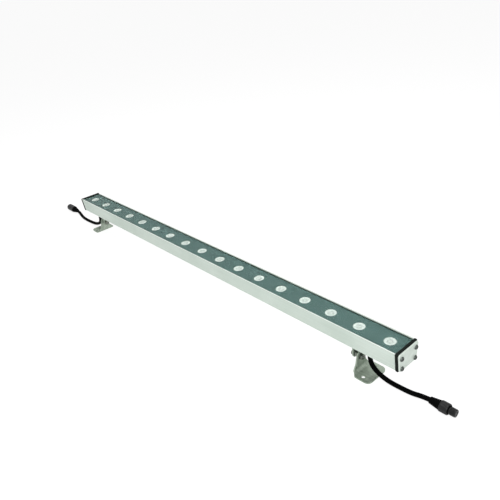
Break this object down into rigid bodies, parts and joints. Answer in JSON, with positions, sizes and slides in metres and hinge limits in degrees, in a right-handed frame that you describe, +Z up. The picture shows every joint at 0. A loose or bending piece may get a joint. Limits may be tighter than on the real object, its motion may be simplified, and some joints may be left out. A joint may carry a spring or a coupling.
{
  "type": "led strip batten",
  "caption": "Long slim LED batten: flat glass top over a row of round lenses in an aluminium bar, on two tilting steel feet, with a short lead near each end.",
  "frame": {"origin": "on the floor under the middle of the bar, between its two feet", "axes": "+X along the bar towards the end with the output lead, +Y across it, +Z up through the glass"},
  "size_m": [1.2503, 0.0528, 0.089],
  "materials": {
    "anodised_aluminium": "satin silver anodised, drawn along the bar",
    "anodised_aluminium_plate": "satin silver anodised plate",
    "toughened_glass": "clear toughened glass with ground edges",
    "window_print": "teal-grey printed film under the glass",
    "silicone_seal": "black silicone",
    "black_rubber": "black moulded rubber",
    "gland_rubber": "black rubber",
    "white_board": "white solder mask on an aluminium board",
    "emitter_resin": "yellow phosphor under clear resin",
    "lens_acrylic": "clear moulded acrylic",
    "white_nylon": "white moulded nylon",
    "green_board": "green circuit board",
    "coil_ferrite": "dark ferrite coils",
    "chip_epoxy": "black epoxy packages",
    "screw_steel": "plain stainless",
    "black_nylon": "black moulded nylon",
    "lead_rubber": "black rubber sheath",
    "foot_steel": "pressed steel sheet, tumbled grey",
    "zinc_steel": "bright zinc plated",
    "connector_nylon": "black moulded nylon",
    "connector_rubber": "black moulded rubber",
    "pin_brass": "plated brass"
  },
  "bodies": {
    "bar": {"cover_glass": "toughened_glass", "driver_board": "green_board", "driver_chips": "chip_epoxy", "driver_coils": "coil_ferrite", "glass_seal": "silicone_seal", "housing_extrusion": "anodised_aluminium", "led_board": "white_board", "led_emitters": "emitter_resin", "left_cable_tail": "lead_rubber", "left_cap_screws": "screw_steel", "left_end_cap": "anodised_aluminium_plate", "left_end_gasket": "black_rubber", "left_gland_body": "black_nylon", "left_gland_bush": "gland_rubber", "left_gland_locknut": "black_nylon", "left_gland_nut": "black_nylon", "left_lead": "lead_rubber", "left_plug_body": "connector_nylon", "left_plug_boot": "connector_rubber", "left_plug_pins": "pin_brass", "lens_holders": "white_nylon", "lenses": "lens_acrylic", "right_cable_tail": "lead_rubber", "right_cap_screws": "screw_steel", "right_end_cap": "anodised_aluminium_plate", "right_end_gasket": "black_rubber", "right_gland_body": "black_nylon", "right_gland_bush": "gland_rubber", "right_gland_locknut": "black_nylon", "right_gland_nut": "black_nylon", "right_lead": "lead_rubber", "right_socket_body": "connector_nylon", "right_socket_boot": "connector_rubber", "right_socket_seal": "connector_rubber", "window_film": "window_print"},
    "left_slider": {"left_hanger": "foot_steel", "left_slot_nut": "zinc_steel", "left_clamp_bolt": "zinc_steel", "left_pivot_bolt": "zinc_steel", "left_pivot_sleeve": "zinc_steel", "left_pivot_washer": "zinc_steel", "left_pivot_nut": "zinc_steel"},
    "right_slider": {"right_hanger": "foot_steel", "right_slot_nut": "zinc_steel", "right_clamp_bolt": "zinc_steel", "right_pivot_bolt": "zinc_steel", "right_pivot_sleeve": "zinc_steel", "right_pivot_washer": "zinc_steel", "right_pivot_nut": "zinc_steel"},
    "left_standing_foot": {"left_foot": "foot_steel"},
    "right_standing_foot": {"right_foot": "foot_steel"},
    "plug_ring": {"left_plug_ring": "connector_nylon"}
  },
  "joints": [
    {"name": "left_foot_slide", "type": "slide", "parent": "bar", "child": "left_slider", "axis": [1, 0, 0], "range_m": [-0.002, 0.36]},
    {"name": "right_foot_slide", "type": "slide", "parent": "bar", "child": "right_slider", "axis": [1, 0, 0], "range_m": [-0.36, 0.002]},
    {"name": "left_foot_tilt", "type": "hinge", "parent": "left_slider", "child": "left_standing_foot", "pos_m": [-0.445, 0, 0.027], "axis": [1, 0, 0], "range_deg": [-90, 90]},
    {"name": "right_foot_tilt", "type": "hinge", "parent": "right_slider", "child": "right_standing_foot", "pos_m": [0.4125, 0, 0.027], "axis": [1, 0, 0], "range_deg": [-90, 90]},
    {"name": "plug_ring_turn", "type": "hinge", "parent": "bar", "child": "plug_ring", "pos_m": [-0.66, 0.0043, 0.009], "axis": [1, 0, 0], "continuous": true}
  ]
}
